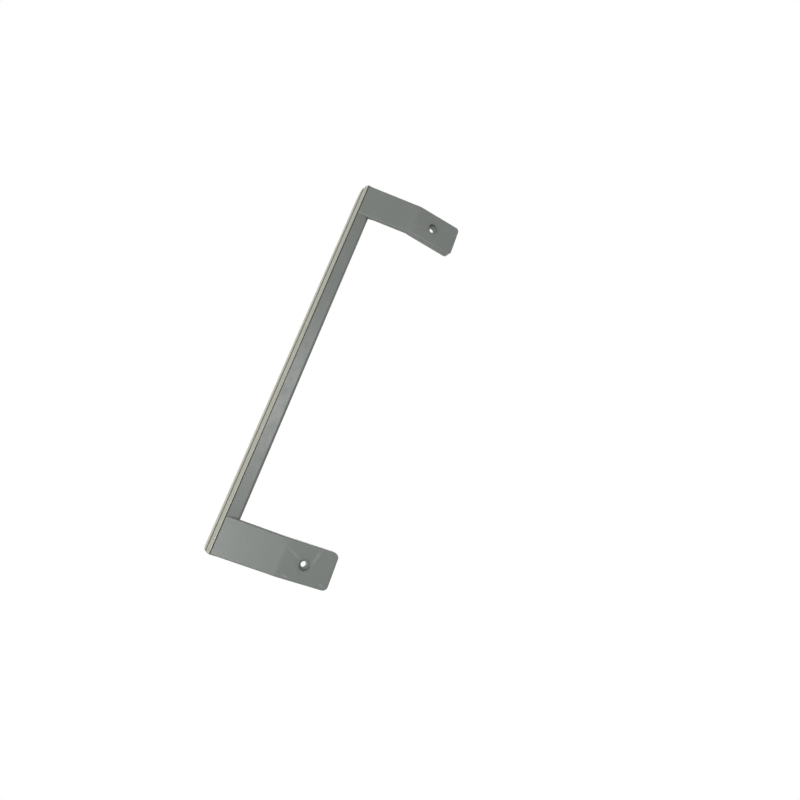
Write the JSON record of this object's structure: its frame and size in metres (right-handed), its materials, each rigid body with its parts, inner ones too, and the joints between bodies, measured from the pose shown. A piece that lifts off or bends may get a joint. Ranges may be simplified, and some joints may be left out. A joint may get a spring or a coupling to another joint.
{
  "type": "refrigerator door handle",
  "caption": "Slab grip on bent arms that end in screw pads for a door's side edge, with a satin trim strip along its front and ribs on the inner side of the arms.",
  "frame": {"origin": "midway between the screw holes, on the face of the pads that lies against the door edge", "axes": "+X away from the door edge, +Y from the grip towards the free ends of the pads, +Z along the grip"},
  "size_m": [0.0469, 0.0929, 0.333],
  "materials": {
    "body": "semi-gloss moulded grey",
    "cover": "semi-gloss moulded grey",
    "trim": "satin champagne with a metal effect"
  },
  "bodies": {
    "root": {"handle_body": "body", "grip_cover": "cover", "trim_strip": "trim"}
  },
  "joints": []
}
